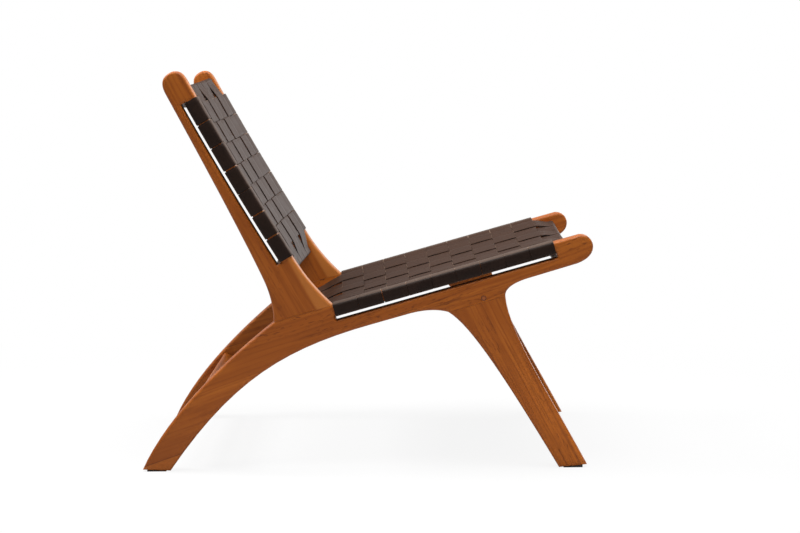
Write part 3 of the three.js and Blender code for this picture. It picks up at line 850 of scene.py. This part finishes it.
def woven_run(crossings, wide, lift):
    # Places along a strap with its height over or under the middle of the weave
    run = []
    half = wide / 2
    for k, (centre, over) in enumerate(crossings):
        if k:
            last_centre, last_over = crossings[k - 1]
            start, end = last_centre + half, centre - half
            for t in (0.2, 0.4, 0.6, 0.8):
                swing = last_over + (over - last_over) * t * t * (3 - 2 * t)
                run.append((start + (end - start) * t, lift * swing))
        for t in (-1, -0.85, -0.5, 0, 0.5, 0.85, 1):
            run.append((centre + t * half, over * (lift + PILLOW * (1 - t * t))))
    return run


def strap_section(wide):
    # Round the section of a strap: across, and through the thickness from -1 to 1
    half = wide / 2
    soft_share = 2 * SOFT_EDGE / STRAP_THICK
    loop = []
    for side, turn in ((1, -90), (1, 0), (-1, 90), (-1, 180)):
        level = 1 if turn in (0, 90) else -1
        for k in range(3):
            angle = math.radians(turn + k * 45)
            v = side * (half - SOFT_EDGE) + math.cos(angle) * SOFT_EDGE
            loop.append((v, level * (1 - soft_share) + math.sin(angle) * soft_share))
        if turn == 0:
            loop += [(v * half, 1.0) for v in (0.6, 0.2, -0.2, -0.6)]
        if turn == 180:
            loop += [(v * half, -1.0) for v in (-0.5, 0.0, 0.5)]
    loop.append(loop[0])
    return loop


def strap(name, wide, path, upright_from, upright_to, to_bench, finish):
    # A closed strip along the path; in the weave its thickness stays upright
    section = strap_section(wide)
    rows, columns = len(path), len(section)
    bpy.ops.mesh.primitive_grid_add(x_subdivisions=rows - 1, y_subdivisions=columns - 1, size=2)
    strip = bpy.context.object
    strip.name = strip.data.name = name
    outward, run = [], [0.0]
    for k in range(rows):
        ahead = path[min(k + 1, rows - 1)] - path[max(k - 1, 0)]
        ahead.normalize()
        in_weave = upright_from <= k <= upright_to
        outward.append(Vector((0, 1)) if in_weave else Vector((-ahead.y, ahead.x)))
        if k:
            run.append(run[-1] + (path[k] - path[k - 1]).length)
    spots = []
    for vertex in strip.data.vertices:
        i = round((vertex.co.x + 1) / 2 * (rows - 1))
        j = round((vertex.co.y + 1) / 2 * (columns - 1))
        across, through = section[j]
        point = path[i] + outward[i] * through * STRAP_THICK / 2
        vertex.co = to_bench(i, point, across)
        spots.append((run[i], 2 * across / wide))
    layer = strip.data.uv_layers[0]
    for loop in strip.data.loops:
        layer.data[loop.index].uv = spots[loop.vertex_index]
    only(strip)
    bpy.ops.object.mode_set(mode="EDIT")
    bpy.ops.mesh.select_all(action="SELECT")
    bpy.ops.mesh.remove_doubles(threshold=0.000005)
    bpy.ops.mesh.select_all(action="SELECT")
    bpy.ops.mesh.fill_holes(sides=0)
    bpy.ops.object.mode_set(mode="OBJECT")
    strip.data.materials.append(finish)
    return strip, run[-1]


def wrap_corners(inner, outer, top, bottom):
    # From the tacked tail behind a bar, under it, up its outer face and over its top
    away = 1 if inner > outer else -1
    return [
        (inner + away * SKIN, bottom + TAIL),
        (inner + away * SKIN, bottom - SKIN),
        (outer - away * SKIN, bottom - SKIN),
        (outer - away * SKIN, top + SKIN),
    ]


def lay(strip, node):
    face_outward(strip)
    bpy.ops.object.shade_smooth_by_angle(angle=math.radians(50))
    place_piece(strip, "leather", node)


LONG_COUNT = 11
WEAVE_MARGIN = 0.010
LONG_PITCH = 2 * (INNER - WEAVE_MARGIN) / LONG_COUNT
long_places = [-INNER + WEAVE_MARGIN + LONG_PITCH * (j + 0.5) for j in range(LONG_COUNT)]
seat_gaps = (0.0002, 0.0012, 0.00015, 0.0002, 0.00015, 0.0006, 0.00015, 0.00015)
back_gaps = (0.0024, 0.0023, 0.0005, 0.0022, 0.0014, 0.0015)
SIDE_GAP = 0.0004
FAR_SHARE = 0.40
WRAP_END = 0.004
SEAT_LOW_REACH = 0.050
BACK_LOW_REACH = 0.031
HIGH_EASE = 0.002
front_rail, rear_rail, top_rail, bottom_rail = cross_rails
seat = (seat_point, SEAT_SPAN, seat_gaps, SEAT_BAR, SEAT_DISH, rear_rail, front_rail)
back = (back_point, BACK_SPAN, back_gaps, BACK_BAR, BACK_DISH, bottom_rail, top_rail)
panels = [("seat", *seat, SEAT_LOW_REACH), ("back", *back, BACK_LOW_REACH)]
TACK_STEP = 0.012
TACK_RISE = 0.0068
tack_places = []
for label, place, span, gaps, bar_deep, dish, low_rail, high_rail, low_reach in panels:
    # The straps have uneven gaps on the sitter's right and lie closer and even on the left
    count = len(gaps) + 1
    wide = (span - 2 * SIDE_GAP - sum(gaps)) / count
    near_places = [SIDE_GAP + wide / 2]
    for gap in gaps:
        near_places.append(near_places[-1] + wide + gap)
    far_gap = FAR_SHARE * sum(gaps) / len(gaps)
    far_places = [span / 2 + (wide + far_gap) * (i - (count - 1) / 2) for i in range(count)]

    def cross_place(i, y):
        return near_places[i] + (far_places[i] - near_places[i]) * (y / WIDTH + 0.5)

    wrap = rounded(
        wrap_corners(-INNER, -WIDTH / 2, 0.0, -bar_deep) + [(-INNER - WRAP_END, SKIN)],
        EDGE_ROUND + SKIN,
    )
    for i in range(count):
        crossings = [(y, -1 if (i + j) % 2 == 0 else 1) for j, y in enumerate(long_places)]
        weave = woven_run(crossings, LONG_WIDE, CROSS_LIFT)
        middle = [Vector((y, level - sag(y, dish))) for y, level in weave]
        path = wrap + middle + [Vector((-p.x, p.y)) for p in reversed(wrap)]
        name = f"{label}_cross_strap_{i + 1:02d}"

        def to_bench(row, point, across):
            x, z = place(cross_place(i, point.x) + across, point.y)
            return (x, point.x, z)

        last = len(wrap) + len(middle) - 1
        strip, length = strap(
            f"{name}_cut", wide, path, len(wrap), last, to_bench, leather_across
        )
        bar_node = "right_back_post" if label == "back" else "right_seat_rail_and_rear_leg"
        lay(strip, name)
        for side in (-1, 1):
            for step in (-TACK_STEP, TACK_STEP):
                x, z = place(cross_place(i, side * INNER) + step, -bar_deep + TACK_RISE)
                at = (x, side * (INNER - SKIN - STRAP_THICK / 2), z)
                tack_places.append((at, (0, -side, 0)))
    low_start, low_top, low_bow = low_rail[2:]
    high_start, high_top, high_bow = high_rail[2:]
    high_reach = high_start + RAIL_WIDE - RAIL_ROUND - HIGH_EASE - span
    low_wrap = rounded(
        wrap_corners(low_start + RAIL_WIDE, low_start, low_top, low_top - RAIL_DEEP)
        + [(-low_reach, low_top + SKIN)],
        RAIL_ROUND + SKIN,
    )
    high_wrap = rounded(
        wrap_corners(high_start, high_start + RAIL_WIDE, high_top, high_top - RAIL_DEEP)
        + [(span + high_reach, high_top + SKIN)],
        RAIL_ROUND + SKIN,
    )

    for j, y in enumerate(long_places):
        crossings = [(cross_place(i, y), 1 if (i + j) % 2 == 0 else -1) for i in range(count)]
        middle = [Vector(spot) for spot in woven_run(crossings, wide, LONG_LIFT)]
        leaving = low_wrap + easing(low_wrap[-1], middle[0])
        arriving = easing(middle[-1], high_wrap[-1]) + list(reversed(high_wrap))
        path = leaving + middle + arriving
        name = f"{label}_long_strap_{j + 1:02d}"
        # The dish of the weave turns into the bow of each rail on the way to it
        bows = [low_bow] * len(low_wrap) + [low_bow + (dish - low_bow) * t for t in EASE_STEPS]
        bows += [dish] * len(middle)
        bows += [dish + (high_bow - dish) * t for t in EASE_STEPS] + [high_bow] * len(high_wrap)

        def to_bench(row, point, across):
            x, z = place(point.x, point.y - sag(y + across, bows[row]))
            return (x, y + across, z)

        last = len(leaving) + len(middle) - 1
        strip, length = strap(
            f"{name}_cut", LONG_WIDE, path, len(leaving), last, to_bench, leather_along
        )
        lay(strip, name)
        low_face = low_start + RAIL_WIDE + SKIN + STRAP_THICK / 2
        high_face = high_start - SKIN - STRAP_THICK / 2
        tails = ((low_face, low_top, low_bow, 1), (high_face, high_top, high_bow, -1))
        for face, top, bow, way in tails:
            for step in (-TACK_STEP, TACK_STEP):
                up = top - RAIL_DEEP + TACK_RISE - sag(y + step, bow)
                x, z = place(face, up)
                ahead_x, ahead_z = place(face + way, up)
                tack_places.append(((x, y + step, z), (ahead_x - x, 0, ahead_z - z)))


# Tacks. Two small bronzed steel tacks hold each strap end behind its bar, out of the sitter's way.
# Each is a thin round head, domed a little, pressed flat into the leather.
steel, shade = start_finish("bronzed_steel")
spot = shade.node("ShaderNodeTexCoord", out="Object")
wear = shade.node("ShaderNodeTexNoise", {"Vector": spot, "Scale": 700.0, "Detail": 2.0}, out="Fac")
body = wear.tint((0.075, 0.058, 0.043, 1), (0.17, 0.135, 0.10, 1))
close_finish(shade, {"Base Color": body, "Roughness": 0.30 + wear * 0.25, "Metallic": 1.0})
TACK_RADIUS = 0.0022
TACK_HIGH = 0.0011
TACK_DOME = 0.0008
bpy.ops.mesh.primitive_cylinder_add(
    vertices=14,
    radius=TACK_RADIUS,
    depth=TACK_HIGH,
    location=(0, 0, TACK_HIGH / 2),
)
tack = bpy.context.object
bpy.ops.object.transform_apply(location=True, rotation=True, scale=True)
bpy.ops.object.mode_set(mode="EDIT")
bpy.ops.mesh.select_all(action="DESELECT")
bpy.ops.object.mode_set(mode="OBJECT")
for face in tack.data.polygons:
    face.select = face.normal.z > 0.9
bpy.ops.object.mode_set(mode="EDIT")
bpy.ops.mesh.select_mode(type="FACE")
bpy.ops.mesh.bevel(offset=TACK_DOME, segments=2, affect="EDGES")
bpy.ops.object.mode_set(mode="OBJECT")
bpy.ops.object.shade_smooth_by_angle(angle=math.radians(40))
tack.data.materials.append(steel)
tacks = []
for at, way in tack_places:
    one = copy_of(tack, "tack")
    turn = Vector(way).to_track_quat("Z", "Y").to_matrix().to_4x4()
    one.data.transform(Matrix.Translation(at) @ turn)
    tacks.append(one)
bpy.data.objects.remove(tack)
only(tacks[0])
for one in tacks:
    one.select_set(True)
bpy.ops.object.join()
tacks = bpy.context.object
tacks.name = tacks.data.name = "strap_tacks"
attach(tacks, "root")


# Studio. A white floor runs out into a white world. A broad soft lamp hangs over the chair, one
# lights the rear legs from behind, a panel at the back right lights the woven back, and a weak
# fill stands beside the camera.
bpy.ops.mesh.primitive_plane_add(size=14)
floor = bpy.context.object
floor.name = "floor"
floor_finish, shade = start_finish("white_floor")
spot = shade.node("ShaderNodeTexCoord", out="Object")
seen_ray = shade.node("ShaderNodeLightPath", out="Is Camera Ray")
mirrored_ray = shade.node("ShaderNodeLightPath", out="Is Glossy Ray")
through_ray = shade.node("ShaderNodeLightPath", out="Is Transmission Ray")
away = shade.node("ShaderNodeVectorMath", {0: spot}, out="Value", operation="LENGTH")
depth = shade.node("ShaderNodeSeparateXYZ", {0: spot}, out="Y")
behind = 0.06 + depth.between(-1.0, 1.0) * 0.34
bright = (seen_ray + through_ray + mirrored_ray * behind) * (0.89 + away.between(0.5, 1.7) * 0.11)
lit = shade.node("ShaderNodeBsdfDiffuse", {"Color": (0.55, 0.55, 0.55, 1)})
bare = shade.node("ShaderNodeEmission", {"Color": (1, 1, 1, 1), "Strength": 1.0})
covered = shade.node("ShaderNodeMixShader", {0: bright, 1: lit, 2: bare})
shade.node("ShaderNodeOutputMaterial", {"Surface": covered})
floor.data.materials.append(floor_finish)

studio = bpy.data.worlds.new("studio")
bpy.context.scene.world = studio
studio.use_nodes = True
studio.node_tree.nodes.clear()
shade = Shade(studio.node_tree)
seen_ray = shade.node("ShaderNodeLightPath", out="Is Camera Ray")
mirrored_ray = shade.node("ShaderNodeLightPath", out="Is Glossy Ray")
through_ray = shade.node("ShaderNodeLightPath", out="Is Transmission Ray")
soft = shade.node("ShaderNodeBackground", {"Color": (1, 1, 1, 1), "Strength": 0.22})
white = shade.node("ShaderNodeBackground", {"Color": (1, 1, 1, 1), "Strength": 1.0})
heading = shade.node("ShaderNodeTexCoord", out="Object")
depth = shade.node("ShaderNodeSeparateXYZ", {0: heading}, out="Y")
behind = 0.06 + depth.between(-0.1, 0.6) * 0.24
bright = seen_ray + through_ray + mirrored_ray * behind
sky = shade.node("ShaderNodeMixShader", {0: bright, 1: soft, 2: white})
shade.node("ShaderNodeOutputWorld", {"Surface": sky})


def softbox(name, at, aim, size, power):
    bpy.ops.object.light_add(type="AREA", location=at)
    lamp = bpy.context.object
    lamp.name = name
    lamp.data.shape = "RECTANGLE"
    lamp.data.size, lamp.data.size_y = size
    lamp.data.energy = power
    lamp.rotation_euler = (Vector(aim) - Vector(at)).to_track_quat("-Z", "Y").to_euler()
    return lamp


softbox("overhead", (0.1, -0.4, 2.4), (0, 0, 0.3), (2.0, 1.6), 92)
softbox("rear_top", (-1.6, 0.2, 2.1), (-0.25, 0, 0.25), (1.0, 0.8), 60)
softbox("rear_panel", (2.4, 2.6, 1.3), (0, 0, 0.45), (3.6, 2.4), 80)
fill = softbox("near_fill", (1.8, -6.0, 0.9), (0, 0, 0.40), (2.4, 1.6), 45)
fill.visible_glossy = False


# Camera. It stands well back on the sitter's right with a long lens, a little above the seat, and
# leans by half a degree, as the photograph does.
pitch = math.radians(5.4653)
yaw = math.radians(0.0561)
roll = math.radians(0.566)
ahead = Vector((math.sin(yaw) * math.cos(pitch), math.cos(yaw) * math.cos(pitch), -math.sin(pitch)))
level = Vector((math.cos(yaw), -math.sin(yaw), 0))
upright = level.cross(ahead)
across = level * math.cos(roll) - upright * math.sin(roll)
upward = upright * math.cos(roll) + level * math.sin(roll)
stand = Matrix((across, upward, -ahead)).transposed().to_4x4()
stand.translation = Vector((0.05628 + CENTRING, -3.945, 0.71197))
bpy.ops.object.camera_add()
camera = bpy.context.object
camera.matrix_world = stand
camera.data.lens = 93.375
camera.data.sensor_width = 36
bpy.context.scene.camera = camera
bpy.context.scene.view_settings.view_transform = "Standard"
